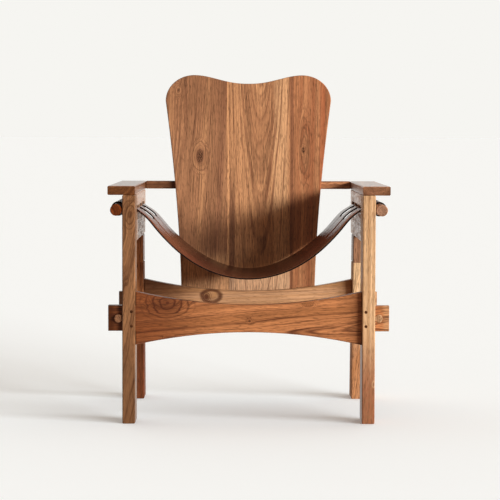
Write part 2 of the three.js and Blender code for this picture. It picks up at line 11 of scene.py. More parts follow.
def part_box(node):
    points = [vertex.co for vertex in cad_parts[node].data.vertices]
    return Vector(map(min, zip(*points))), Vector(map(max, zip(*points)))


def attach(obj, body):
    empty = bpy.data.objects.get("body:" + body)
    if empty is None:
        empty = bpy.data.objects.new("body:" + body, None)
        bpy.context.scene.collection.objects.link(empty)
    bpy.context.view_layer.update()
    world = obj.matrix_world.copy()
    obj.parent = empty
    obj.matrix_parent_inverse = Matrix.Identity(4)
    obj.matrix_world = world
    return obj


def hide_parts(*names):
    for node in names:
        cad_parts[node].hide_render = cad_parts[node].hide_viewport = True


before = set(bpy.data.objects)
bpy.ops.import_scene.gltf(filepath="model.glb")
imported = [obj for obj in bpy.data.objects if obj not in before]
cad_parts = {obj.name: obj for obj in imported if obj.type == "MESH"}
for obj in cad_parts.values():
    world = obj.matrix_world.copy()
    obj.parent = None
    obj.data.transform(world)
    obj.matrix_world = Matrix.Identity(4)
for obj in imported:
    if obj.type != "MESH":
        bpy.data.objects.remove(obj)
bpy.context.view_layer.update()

bl_info = {
    "name": "Leather sling lounge chair",
    "version": (1, 0, 0),
    "blender": (4, 5, 0),
    "location": "View3D > Sidebar > Chair",
    "description": "Builds the finishes, the leather sling and the studio for the packed chair",
    "category": "Object",
}

MM = 0.001
BODY = "chair"
SIDES = {"left": -1, "right": 1}
RIGHT, BACK, UP = (1, 0, 0), (0, 1, 0), (0, 0, 1)

# Places taken from the frame, in millimetres.
CHAIR_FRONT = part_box("armrest_left")[0].y / MM  # the front of the armrests
INNER_HALF = -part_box("front_leg_left")[1].x / MM  # half the clear width between the side frames
OUTER_HALF = -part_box("front_leg_left")[0].x / MM
ROD_LOW, ROD_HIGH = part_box("sling_rod_right")
ROD_MIDDLE = (ROD_LOW.x + ROD_HIGH.x) / 2 / MM
ROD_HEIGHT = (ROD_LOW.z + ROD_HIGH.z) / 2 / MM
ROD_RADIUS = (ROD_HIGH.z - ROD_LOW.z) / 2 / MM
SLING_LOW, SLING_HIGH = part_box("leather_sling")
SLING_FRONT = SLING_LOW.y / MM
SLING_WIDTH = (SLING_HIGH.y - SLING_LOW.y) / MM

# The boards, in millimetres.
RAKE = (0, -0.137, 1)  # the way that the rear legs run
RECLINE = math.radians(8.5)
BOARD_FOOT = 236  # height of the back board's lower end
BOARD_MIDDLE = 560  # height of the point that the planks' figure is measured from
BOARD_FOOT_SETBACK = 476  # from the chair's front to the board's face at its foot
WHOLE = (900, 901)  # the two ends of a strip of colour that runs the length of its board

# The sling, in millimetres.
LEATHER_THICKNESS = 3.5
STRAP_COUNT = 3
SLIT_REACH = 40  # from a frame's inner face to the inner end of the slits
SLIT_NARROW = 3
SLIT_WIDE = 24
SLING_MIDDLE_HEIGHT = 357.5
SLIT_REACH_HEIGHT = 497
STRAP_ENTRY_SLOPE = 0.6
STRAP_TUCK = 26  # the strap's returned end, inside the panel
ROD_GAP = 0.3  # between a strap and its rod
ROUND_SHARE = 0.85
REAR_RISE = 8  # how far the hide's slopes stand higher at the rear edge than at the front one
SLIT_CREASE = 1.0  # depth of the creases that run on from the slits
CREASE_WIDTH = 11
STRAP_TILT = 3.0  # how far a cut edge at a slit stands above or below its strap's middle line
STRAP_CROWN = 1.0  # how far the sides of a strap curl down
EDGE_ROLL = 1.2  # how far the long edges of the hide turn down
EDGE_ROLL_WIDTH = 14
SLACK = 0.8  # height of the hide's slow unevenness
RIPPLE = 0.12  # height of the fine ripples on the rear half of its slopes
SLOT_SAG = 1.8  # how far the straps hang below the middle of their slots
HIDE_STEPS, SLIT_STEPS, TURN_STEPS = 54, 12, 44  # along the hide, along a slit and round a rod
STRAP_COLUMNS = 48  # across a strap

# The glue in the back board's joints, in millimetres.
GLUE_GAP = 0.3
GLUE_REACH = 0.2
GLUE_OVERLAP = 0.1
GLUE_SHARE = 0.985

# The key light is a row of suns at these angles in degrees from its middle, which itself is turned from
# the chair's right. A sun's height over the floor is this share of its distance to the side.
KEY_TURNS = (-20, -10, 0, 10, 20)
KEY_AZIMUTH = -39.4
KEY_SLOPE = 0.28
KEY_WIDTH = 11  # degrees that one sun spans

# The room's light, as shares of the fill strength, and its strength in reflections.
FRONT_FILL, REAR_FILL = 1.35, 4
FRONT_SHINE, REAR_SHINE = 0.15, 1.0

FLOOR_REACH = 1200.0  # metres
FLOOR_GLOW = 0.13

# The camera, in radians, and in millimetres from the chair's middle, front and floor.
CAMERA_YAW, CAMERA_PITCH, CAMERA_ROLL = 0.0054, 0.0584, 0.0028
CAMERA_PLACE = (-23.5, -4842.8, 719.4)
CAMERA_SENSOR, CAMERA_LENS = 36.0, 140.12


def linear(code):
    """A colour written as an sRGB hex value, in the linear values that the shaders take."""
    parts = [int(code[i : i + 2], 16) / 255 for i in (1, 3, 5)]
    return tuple(p / 12.92 if p <= 0.04045 else ((p + 0.055) / 1.055) ** 2.4 for p in parts) + (1.0,)


def toned(colour, factor=1.0):
    """A colour property made darker or paler, with its alpha."""
    return tuple(min(1.0, c * factor) for c in colour) + (1.0,)


def fill(tree, node, inputs):
    """Fills a node's inputs with values or links."""
    for key, value in inputs.items():
        if isinstance(value, bpy.types.NodeSocket):
            tree.links.new(value, node.inputs[key])
        else:
            node.inputs[key].default_value = value


def add(tree, kind, inputs=None, **settings):
    """Adds a shader node with its settings, and fills its inputs with values or links."""
    made = tree.nodes.new("ShaderNode" + kind)
    for name, value in settings.items():
        setattr(made, name, value)
    fill(tree, made, inputs or {})
    return made


def spread(tree, value, low, high, start, end, kind="LINEAR"):
    """The value's range from low to high laid over start to end."""
    return add(tree, "MapRange", {
        "Value": value, "From Min": low, "From Max": high, "To Min": start, "To Max": end,
    }, interpolation_type=kind).outputs[0]


def maths(tree, operation, *values):
    """One step of arithmetic on numbers."""
    return add(tree, "Math", dict(enumerate(values)), operation=operation).outputs[0]


def blend(tree, amount, under, over):
    """One colour laid over another by an amount from 0 to 1."""
    return add(tree, "Mix", {"Factor": amount, "A": under, "B": over}, data_type="RGBA").outputs["Result"]


def scaled(tree, colour, factor):
    """A colour times a number."""
    return add(tree, "VectorMath", {0: colour, 1: factor}, operation="MULTIPLY").outputs[0]


def length_of(tree, vector):
    """A vector's length."""
    return add(tree, "VectorMath", {0: vector}, operation="LENGTH").outputs["Value"]


def even_noise(tree, place, size, detail, roughness=0.5):
    """Noise in cells of a size in millimetres, over a place in metres."""
    return add(tree, "TexNoise", {
        "Vector": place, "Scale": 1 / (size * MM), "Detail": detail, "Roughness": roughness,
    }).outputs[0]


def bumps(tree, height, strength, depth):
    """The surface's direction where a height from 0 to 1 stands for a depth in millimetres."""
    return add(tree, "Bump", {"Height": height, "Strength": strength, "Distance": depth * MM}).outputs[0]


def surface(name, inputs):
    """A new material whose one principled shader holds the given inputs, and its node tree."""
    material = bpy.data.materials.new(name)
    material.use_nodes = True
    tree = material.node_tree
    tree.nodes.clear()
    shader = add(tree, "BsdfPrincipled", inputs)
    add(tree, "OutputMaterial", {"Surface": shader.outputs["BSDF"]})
    return material, tree, shader


def finish_nodes(names, material):
    """Gives CAD nodes a material."""
    for name in names:
        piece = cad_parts[name]
        piece.data.materials.clear()
        piece.data.materials.append(material)


def grain_noise(tree, place, along, over, offset, detail, roughness):
    """Noise drawn out along the grain, in cells of the given length and width in millimetres."""
    spot = add(tree, "Mapping", {
        "Vector": place, "Location": (offset, offset * 1.7, offset * 2.3),
        "Scale": (1 / along, 1 / over, 1 / over),
    })
    return add(tree, "TexNoise", {
        "Vector": spot.outputs[0], "Scale": 1.0, "Detail": detail, "Roughness": roughness,
    })


def ring_noise(tree, ring, width, offset, roughness):
    """Noise from ring to ring of the log, about one change in each width."""
    return add(tree, "TexNoise", {
        "W": maths(tree, "MULTIPLY_ADD", ring, 1 / width, offset),
        "Scale": 1.0, "Detail": 2.0, "Roughness": roughness,
    }, noise_dimensions="1D").outputs[0]


def knot_marks(tree, bent, ring, clouds, speckle, warp, knots, knot_depth):
    """The rings as the knots push them aside, and how strongly four marks of the knots show.

    The marks are the shade over a knot, its dark heart, the pale halo round the heart and the loops of
    late wood round the knot.
    """
    shade, heart, halo, loops = 0.0, 0.0, 0.0, 0.0
    for along, over, length, width, lift, depth, core in knots:
        spot = add(tree, "Mapping", {
            "Vector": bent, "Location": (along, over + warp, knot_depth[0]),
            "Scale": (length, width, knot_depth[1]),
        }, vector_type="TEXTURE")
        reach = length_of(tree, spot.outputs[0])  # 0 in the knot's middle and 1 at its edge
        ring = maths(tree, "ADD", ring, spread(tree, reach, 0, 1, lift, 0, "SMOOTHERSTEP"))
        if core < 0:
            wavering = maths(tree, "MULTIPLY_ADD", clouds, 0.5, reach)
            rim = maths(tree, "ABSOLUTE", maths(tree, "SUBTRACT", wavering, 0.9))
            shade = maths(tree, "MAXIMUM", shade, spread(tree, rim, 0.05, 0.3, depth, 0, "SMOOTHSTEP"))
            continue
        shade = maths(tree, "MAXIMUM", shade, spread(tree, reach, 0.1, 0.75, depth, 0, "SMOOTHSTEP"))
        # The loops are about five to a knot, and fade out beyond its edge.
        turns = maths(tree, "SINE", maths(
            tree, "MULTIPLY_ADD", reach, 30, maths(tree, "MULTIPLY", clouds, 14)))
        around = spread(tree, reach, 0.5, 1.15, min(1.0, 1.8 * depth), 0, "SMOOTHSTEP")
        loop = maths(tree, "MULTIPLY", around, spread(tree, turns, 0.2, 1, 0, 1))
        loops = maths(tree, "MAXIMUM", loops, loop)
        if core > 0:
            ragged = maths(tree, "MULTIPLY_ADD", clouds, core, reach)
            inside = spread(tree, ragged, core * 0.9, core * 1.5, 0.7, 0, "SMOOTHSTEP")
            heart = maths(tree, "MAXIMUM", heart, inside)
            heart = maths(tree, "MULTIPLY", heart, spread(tree, speckle, 0.42, 0.56, 0.25, 1.2))
            beyond = maths(tree, "ABSOLUTE", maths(tree, "SUBTRACT", ragged, core * 2.1))
            halo = maths(tree, "MAXIMUM", halo, spread(tree, beyond, 0.0, core * 0.8, 0.45, 0, "SMOOTHSTEP"))
    return ring, shade, heart, halo, loops


# Teak, sawn from the log, planed, sanded and oiled. The oil deepens the colour and leaves a satin
# surface: growth rings show as soft bands with thin dark late wood, crossed by short open pores.
# The three colours of most boards were scaled until the board's mean tone came near the photograph's
# under the light set here. The boards on the left came out darker than those on the right, and
# one photograph can't tell whether that is the wood or its light.
def teak(name, at, grain, across, colours, seed, pith=(0, -70), lean=(0, 0), warp=5, band=18, line=6,
         line_depth=0.6, fibre=0.3, dash=0.6, rough=0.5, coat=0.4, coat_rough=0.32, coat_ior=1.28,
         fuzz=0.0, relief_depth=0.4, waves=0.0, knots=(), knot_depth=(0, 1e6), strips=()):
    """A teak material for one board. Lengths are in millimetres in the board's own axes.

    at is the board's middle, grain the way that its fibres run and across the way over its face.
    colours are the pale wood, the body and the dark late wood.
    pith is where the log's middle lay, and lean its slope against the board in radians.
    warp is how far the log bends, band and line the widths of soft bands and late wood lines.
    line_depth, fibre and dash say how strongly lines, fibres and open pores show.
    rough is the wood's roughness. coat, coat_rough and coat_ior are the oil's film, fuzz the raised
    fibres, relief_depth the depth of the pores and waves that of the hollows left by the sanding.
    knots are (along, across, half length, half width, lift, shade, heart). A heart of 0 leaves the knot
    without one, and a negative heart draws a dark rim alone.
    knot_depth is the middle of the knots through the board, and how far they reach from it.
    strips are (across, half width, colour, depth, from along, to along), and fade out between the last
    two. A half width beyond the board's own colours it from side to side. Some strips are figure, such as a
    pale line of sapwood. Others are painted light and painted shade, which meet the photograph's tone in a
    place where this light doesn't.
    """
    grain = Vector(grain).normalized()
    through = grain.cross(Vector(across)).normalized()
    across = through.cross(grain)
    axes = Matrix((grain, across, through)).transposed()
    material, tree, shader = surface(name, {})
    pale, body, dark = (linear(code) for code in colours)
    pore_fill = linear("#2a160c")
    coordinates = add(tree, "TexCoord")
    place = add(tree, "Mapping", {
        "Vector": coordinates.outputs["Object"],
        "Location": Vector(at) * MM,
        "Rotation": axes.to_euler(),
        "Scale": (MM, MM, MM),
    }, vector_type="TEXTURE").outputs[0]

    # The log's slow bends push the rings aside.
    bend = grain_noise(tree, place, 380, 90, seed * 3.7, 2.0, 0.4)
    bent = add(tree, "VectorMath", {
        0: bend.outputs["Color"], 1: (0, 2 * warp, 2 * warp), 2: place,
    }, operation="MULTIPLY_ADD").outputs[0]
    log = add(tree, "Mapping", {
        "Vector": bent,
        "Location": (0, pith[0], pith[1]),
        "Rotation": (0, lean[0], lean[1]),
        "Scale": (1e6, 1, 1),
    }, vector_type="TEXTURE")
    ring = length_of(tree, log.outputs[0])

    # Fibres are about a third of a millimetre, drawn some 1.5 mm wide so that they show.
    fibres = grain_noise(tree, bent, 110, 1.5, seed, 3.0, 0.65).outputs[0]
    # Pores are up to 10 mm long and a quarter of a millimetre wide, drawn 18 mm by 1.6 mm.
    pores = grain_noise(tree, bent, 18, 1.6, seed * 0.7, 1.0, 0.5).outputs[0]
    streaks = grain_noise(tree, bent, 520, 3, seed * 1.3, 3.0, 0.6).outputs[0]
    clouds = grain_noise(tree, bent, 140, 26, seed * 2.9, 2.0, 0.5).outputs[0]
    speckle = grain_noise(tree, place, 4, 3, seed, 2.0, 0.6).outputs[0]
    ring, shade, heart, halo, loops = knot_marks(
        tree, bent, ring, clouds, speckle, warp, knots, knot_depth)

    # Late wood is a thin line where the noise crosses its middle, and fades in and out along the board.
    wide = ring_noise(tree, ring, band, seed * 11.3, 0.55)
    narrow = ring_noise(tree, ring, line, seed * 7.1, 0.6)
    crossing = maths(tree, "ABSOLUTE", maths(tree, "SUBTRACT", narrow, 0.5))
    late = spread(tree, crossing, 0.0, 0.6 / line, line_depth, 0.0, "SMOOTHSTEP")
    late = maths(tree, "MULTIPLY", late, spread(tree, clouds, 0.3, 0.6, 0.25, 1.0))
    late = maths(tree, "MAXIMUM", late, loops)
    open_pores = spread(tree, pores, 0.55, 0.64, 0.0, dash)

    colour = blend(tree, spread(tree, wide, 0.34, 0.66, 0, 1), pale, body)
    for over, width, code, depth, start, end in strips:
        apart = add(tree, "SeparateXYZ", {0: bent})
        beside = maths(tree, "ABSOLUTE", maths(tree, "SUBTRACT", apart.outputs["Y"], over + warp))
        amount = spread(tree, beside, width * 0.7, width * 1.2, depth, 0, "SMOOTHSTEP")
        stretch = spread(tree, apart.outputs["X"], start, end, 1, 0, "SMOOTHSTEP")
        colour = blend(tree, maths(tree, "MULTIPLY", amount, stretch), colour, linear(code))
    colour = blend(tree, late, colour, dark)
    colour = blend(tree, shade, colour, dark)
    colour = blend(tree, halo, colour, pale)
    tone = maths(tree, "MULTIPLY",
                 spread(tree, fibres, 0.36, 0.64, 1 - fibre, 1 + 0.8 * fibre),
                 spread(tree, streaks, 0.36, 0.64, 1 - 0.6 * fibre, 1 + 0.5 * fibre))
    # End grain drinks more oil and is darker.
    facing = add(tree, "VectorMath", {0: coordinates.outputs["Normal"], 1: grain}, operation="DOT_PRODUCT")
    end_grain = maths(tree, "ABSOLUTE", facing.outputs["Value"])
    tone = maths(tree, "MULTIPLY", tone, spread(tree, end_grain, 0.6, 0.95, 1.0, 0.62))
    colour = scaled(tree, colour, tone)
    colour = blend(tree, open_pores, colour, pore_fill)
    colour = blend(tree, heart, colour, pore_fill)

    relief = maths(tree, "MULTIPLY_ADD", late, -0.35, maths(tree, "SUBTRACT", fibres, open_pores))
    oiled = coat
    if waves > 0:
        # Hollows along the grain, like those of uneven sanding, break up the shine. The colour is darkened
        # in them as painted shade.
        hollows = grain_noise(tree, place, 90, 11, seed * 5.3, 2.0, 0.6).outputs[0]
        relief = maths(tree, "MULTIPLY_ADD", hollows, waves, relief)
        oiled = spread(tree, hollows, 0.4, 0.55, 0.0, coat)
        colour = blend(tree, spread(tree, hollows, 0.35, 0.5, 0.3, 0.0), colour, dark)
    normal = bumps(tree, relief, 0.35, relief_depth)
    fill(tree, shader, {
        "Base Color": colour,
        "Roughness": spread(tree, fibres, 0.25, 0.75, rough - 0.06, rough + 0.1),
        "Normal": normal,
        "IOR": 1.36,
        "Coat Weight": oiled,
        "Coat Roughness": coat_rough,
        "Coat IOR": coat_ior,
        "Coat Normal": normal,
        "Sheen Weight": fuzz,
        "Sheen Roughness": 0.45,
        "Sheen Tint": linear("#f0cdb4"),
    })
    return material


# Vegetable-tanned bridle leather, dyed brown and waxed on the grain side. The wax gives a soft sheen
# that is broken by fine pebbling, and the dye lies in uneven clouds.
def waxed_leather(colour):
    material, tree, shader = surface("waxed_leather_grain", {})
    coordinates = add(tree, "TexCoord").outputs["Object"]
    patches = even_noise(tree, coordinates, 55, 4.0, 0.6)
    tone = blend(tree, spread(tree, patches, 0.35, 0.65, 0, 1), toned(colour, 0.55), toned(colour))
    ways = add(tree, "SeparateXYZ", {0: coordinates})
    # The tone also changes by place, because the photograph shows tones on the hide that this light alone
    # doesn't give. These changes are painted light and shade: painted shade darkens the middle and the back,
    # and painted light makes the sides, the front and the right side paler.
    aside = maths(tree, "ABSOLUTE", ways.outputs["X"])
    from_middle = spread(tree, aside, 50 * MM, 190 * MM, 0.78, 1.2, "SMOOTHSTEP")
    first, last = (SLING_FRONT + 40) * MM, (SLING_FRONT + 345) * MM
    from_front = spread(tree, ways.outputs["Y"], first, last, 1.2, 0.78, "SMOOTHSTEP")
    from_left = spread(tree, ways.outputs["X"], 20 * MM, 170 * MM, 1.0, 1.45, "SMOOTHSTEP")
    painted_light_and_shade = maths(tree, "MULTIPLY", maths(tree, "MULTIPLY", from_middle, from_front), from_left)
    tone = scaled(tree, tone, painted_light_and_shade)
    # Pebbles are about 1 mm, drawn 2 mm so that they show.
    pebbles = add(tree, "TexVoronoi", {"Vector": coordinates, "Scale": 1 / (2 * MM)}, feature="SMOOTH_F1")
    creases = even_noise(tree, coordinates, 9, 5.0, 0.65)
    relief = maths(tree, "ADD", pebbles.outputs["Distance"], creases)
    fill(tree, shader, {
        "Base Color": tone,
        "Roughness": spread(tree, creases, 0.3, 0.7, 0.17, 0.28),
        "Normal": bumps(tree, relief, 0.16, 0.3),
        "IOR": 1.5,
    })
    return material


# Edge paint on cut leather, burnished: nearly black, slightly uneven and of a low shine.
def painted_edge(colour):
    material, tree, shader = surface("burnished_edge_paint", {"Roughness": 0.55, "IOR": 1.33})
    rubbed = even_noise(tree, add(tree, "TexCoord").outputs["Object"], 14, 3.0)
    amount = spread(tree, rubbed, 0.5, 0.75, 0, 1)
    fill(tree, shader, {"Base Color": blend(tree, amount, toned(colour), toned(colour, 1.6))})
    return material


# The flesh side of the same hide, shaved and left open: matt, paler and slightly furred.
def shaved_flesh(colour):
    material, tree, shader = surface("shaved_leather_flesh", {"Roughness": 0.85, "Sheen Weight": 0.15})
    nap = even_noise(tree, add(tree, "TexCoord").outputs["Object"], 2.5, 6.0, 0.7)
    fill(tree, shader, {
        "Base Color": blend(tree, nap, toned(colour), toned(colour, 1.8)),
        "Normal": bumps(tree, nap, 0.4, 0.4),
    })
    return material


# Turned brass, lacquered: yellow metal, unevenly rubbed.
def turned_brass(colour):
    material, tree, shader = surface("turned_brass", {"Metallic": 1.0})
    smear = even_noise(tree, add(tree, "TexCoord").outputs["Object"], 1.5, 3.0)
    fill(tree, shader, {"Base Color": toned(colour), "Roughness": spread(tree, smear, 0, 1, 0.22, 0.45)})
    return material


# Hardened joint glue, squeezed thin and stained by the oil: dark and matt.
def joint_glue():
    material, tree, shader = surface("oil_stained_joint_glue", {"Roughness": 0.7})
    drops = even_noise(tree, add(tree, "TexCoord").outputs["Object"], 8, 3.0)
    fill(tree, shader, {"Base Color": blend(tree, drops, linear("#2c1a10"), linear("#5a3a26"))})
    return material


def fade(value, start, end):
    """0 before start, 1 after end, and smooth between."""
    share = min(1.0, max(0.0, (value - start) / (end - start)))
    return share * share * (3 - 2 * share)


def hide_height(x):
    """Height of the hide's middle surface, from the centre line out to the panel's inner face."""
    slit_end = INNER_HALF - SLIT_REACH
    drop = SLIT_REACH_HEIGHT - SLING_MIDDLE_HEIGHT
    ratio = x / slit_end
    if ratio <= 1:
        return SLING_MIDDLE_HEIGHT + drop * (ROUND_SHARE * ratio**2 + (1 - ROUND_SHARE) * ratio**4)
    start_slope = drop * (2 * ROUND_SHARE + 4 * (1 - ROUND_SHARE)) / slit_end
    t = (x - slit_end) / SLIT_REACH
    late = t**2 * (3 - 2 * t)
    leaving = t * (1 - t) ** 2 * start_slope * SLIT_REACH
    entering = t**2 * (1 - t) * STRAP_ENTRY_SLOPE * SLIT_REACH
    return SLIT_REACH_HEIGHT + (ROD_HEIGHT - SLOT_SAG - SLIT_REACH_HEIGHT) * late + leaving - entering


def strap_line():
    """The hide's middle line from the centre out: through the slot, round the rod and back into the slot."""
    slit_end = INNER_HALF - SLIT_REACH
    points = [Vector((slit_end * i / HIDE_STEPS, 0)) for i in range(HIDE_STEPS)]
    points += [Vector((slit_end + SLIT_REACH * i / SLIT_STEPS, 0)) for i in range(SLIT_STEPS + 1)]
    for point in points:
        point.y = hide_height(point.x)
    half = LEATHER_THICKNESS / 2
    radius = ROD_RADIUS + half + ROD_GAP
    middle = Vector((ROD_MIDDLE, ROD_HEIGHT))
    # From the slot's inner mouth to the rod's flank, as places from the rod's middle.
    mouth = [(-44.5, 0.6 - SLOT_SAG), (-41, 0.2), (-37, 1.2), (-30, half + 0.15), (-24, 2.6), (-19.5, 4.3),
             (-16.6, 6.2)]
    start = math.radians(150)
    points += [middle + Vector(p) for p in mouth]
    for i in range(TURN_STEPS + 1):
        angle = start - 2 * start * i / TURN_STEPS
        points.append(middle + radius * Vector((math.cos(angle), math.sin(angle))))
    back = [(x, -z) for x, z in reversed(mouth[2:])]
    end = OUTER_HALF - STRAP_TUCK - ROD_MIDDLE
    points += [middle + Vector(p) for p in back] + [middle + Vector((end, -half))]
    return points


def slit_half(x):
    """Half the width of a slit at a distance from the centre line."""
    start = INNER_HALF - SLIT_REACH
    if x < start - 0.01:
        return 0.0
    share = min(1.0, (x - start) / SLIT_REACH)
    return (SLIT_NARROW + (SLIT_WIDE - SLIT_NARROW) * share) / 2


def hide_relief(x, over, strap, strap_share):
    """How far the hide stands off its plain curve: straps crown and turn, and the long edges roll down.

    over is the way back from the hide's front edge, and strap_share runs from -1 to 1 across a strap.
    """
    free = 1 - fade(abs(x), INNER_HALF - 10, INNER_HALF + 4)
    slit_end = INNER_HALF - SLIT_REACH
    crown = -STRAP_CROWN * strap_share**4 * fade(abs(x), INNER_HALF - 90, INNER_HALF - 20)
    outer_edge = (strap == 0 and strap_share < 0) or (strap == STRAP_COUNT - 1 and strap_share > 0)
    turn = 0.0 if outer_edge else -STRAP_TILT * strap_share * abs(strap_share)
    tilt = turn * fade(abs(x), slit_end, slit_end + 6)
    edge = min(over, SLING_WIDTH - over)
    roll = -EDGE_ROLL * max(0.0, 1 - edge / EDGE_ROLL_WIDTH) ** 2
    slack = SLACK * noise.noise(Vector((x / 120, over / 80, 3.1)))
    ripple = math.sin(over / 2.4 + 2.5 * noise.noise(Vector((x / 90, over / 60, 7.7))))
    ripple *= RIPPLE * fade(over, 0.5 * SLING_WIDTH, 0.65 * SLING_WIDTH) * fade(abs(x), 120, 200)
    ripple *= 1 - fade(abs(x), slit_end - 10, slit_end + 5)
    crease = 0.0
    for cut in range(1, STRAP_COUNT):
        away = (over - SLING_WIDTH * cut / STRAP_COUNT) / CREASE_WIDTH
        crease -= SLIT_CREASE * math.exp(-away * away) * fade(abs(x), 60, slit_end)
    return free * (crown + roll + slack + crease + tilt + ripple)


def slack_twist(x, over):
    """How far the hide's slopes stand higher at the rear edge than at the front one."""
    slope = fade(abs(x), 0, 190) * (1 - fade(abs(x), INNER_HALF - 50, INNER_HALF - 4))
    return REAR_RISE * slope * (1 - (1 - over / SLING_WIDTH) ** 2)


def strap_rows(mesh, line, loop_points, strap):
    """One strap's rows of points, from end to end through the hide, and the width of each row.

    The line's first and last loop_points run through the slots and round the rods.
    """
    strap_width = (SLING_WIDTH - (STRAP_COUNT - 1) * SLIT_WIDE) / STRAP_COUNT
    front = (strap_width + SLIT_WIDE) * strap
    rows, widths = [], []
    for index, point in enumerate(line):
        before, after = line[max(index - 1, 0)], line[min(index + 1, len(line) - 1)]
        along = (after - before).normalized()
        normal = Vector((-along.y, along.x))
        in_hide = loop_points <= index < len(line) - loop_points
        gap = slit_half(abs(point.x)) if in_hide else SLIT_WIDE / 2
        low = front - (SLIT_WIDE / 2 - gap if strap > 0 else 0)
        high = front + strap_width + (SLIT_WIDE / 2 - gap if strap < STRAP_COUNT - 1 else 0)
        widths.append(high - low)
        row = []
        for column in range(STRAP_COLUMNS + 1):
            share = column / STRAP_COLUMNS
            over = low + (high - low) * share
            lift = hide_relief(point.x, over, strap, 2 * share - 1) if in_hide else 0.0
            spot = point + normal * lift
            if in_hide:
                spot.y += slack_twist(point.x, over)
            row.append(mesh.verts.new(Vector((spot.x, SLING_FRONT + over, spot.y)) * MM))
        rows.append(row)
    return rows, widths


def sling_mesh():
    """The hide as one sheet with its ends slit into straps, and its flat length and area in millimetres."""
    half_line = strap_line()
    line = [Vector((-p.x, p.y)) for p in reversed(half_line[1:])] + half_line
    lengths = [(b - a).length for a, b in zip(line, line[1:])]
    loop_points = len(half_line) - (HIDE_STEPS + SLIT_STEPS + 1)
    mesh = bmesh.new()
    area = 0.0
    for strap in range(STRAP_COUNT):
        rows, widths = strap_rows(mesh, line, loop_points, strap)
        for length, a, b in zip(lengths, widths, widths[1:]):
            area += length * (a + b) / 2
        for lower, upper in zip(rows, rows[1:]):
            for column in range(STRAP_COLUMNS):
                mesh.faces.new((lower[column], upper[column], upper[column + 1], lower[column + 1]))
    bmesh.ops.remove_doubles(mesh, verts=mesh.verts, dist=1e-6)
    bmesh.ops.recalc_face_normals(mesh, faces=mesh.faces)
    middle_face = min(mesh.faces, key=lambda f: abs(f.calc_center_median().x) + f.calc_center_median().z)
    if middle_face.normal.z < 0:
        bmesh.ops.reverse_faces(mesh, faces=mesh.faces)
    data = bpy.data.meshes.new("leather_hide")
    mesh.to_mesh(data)
    mesh.free()
    data.shade_smooth()
    return data, sum(lengths), area


def glue_line(name, plank, material):
    """Fills the joint at a plank's right-hand edge with a thin sheet of glue."""
    corners = [plank.matrix_world @ v.co for v in plank.data.vertices]
    edge = max(c.x for c in corners)
    face = [c for c in corners if edge - c.x < GLUE_REACH * MM]
    middle = sum(face, Vector()) / len(face)
    mesh = bmesh.new()
    for corner in face:
        inside = middle + (corner - middle) * GLUE_SHARE
        for x in (edge - GLUE_OVERLAP * MM, edge + (GLUE_GAP + GLUE_OVERLAP) * MM):
            mesh.verts.new((x, inside.y, inside.z))
    made = bmesh.ops.convex_hull(mesh, input=mesh.verts)
    spare = {v for v in made["geom_interior"] + made["geom_unused"] if isinstance(v, bmesh.types.BMVert)}
    bmesh.ops.delete(mesh, geom=list(spare), context="VERTS")
    bmesh.ops.recalc_face_normals(mesh, faces=mesh.faces)
    data = bpy.data.meshes.new(name)
    mesh.to_mesh(data)
    mesh.free()
    data.materials.append(material)
    piece = bpy.data.objects.new(name, data)
    bpy.context.scene.collection.objects.link(piece)
    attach(piece, BODY)
    return piece


class ChairColours(bpy.types.PropertyGroup):
    """Colours and strengths of light that someone would change."""

    leather: FloatVectorProperty(
        name="Leather", description="Colour of the waxed hide", subtype="COLOR",
        default=linear("#572416")[:3],
    )
    edge_paint: FloatVectorProperty(
        name="Edge paint", description="Colour of the painted leather edges", subtype="COLOR",
        default=linear("#140b08")[:3],
    )
    brass: FloatVectorProperty(
        name="Brass", description="Colour of the screws", subtype="COLOR",
        default=linear("#b8924e")[:3],
    )
    floor: FloatVectorProperty(
        name="Floor", description="Colour of the studio floor and backdrop", subtype="COLOR",
        default=linear("#f6f5f1")[:3],
    )
    key_strength: FloatProperty(
        name="Key light", description="Strength of the key light", default=6.3, min=0.0
    )
    fill_strength: FloatProperty(
        name="Fill light", description="Strength of the light from all round", default=0.25, min=0.0
    )


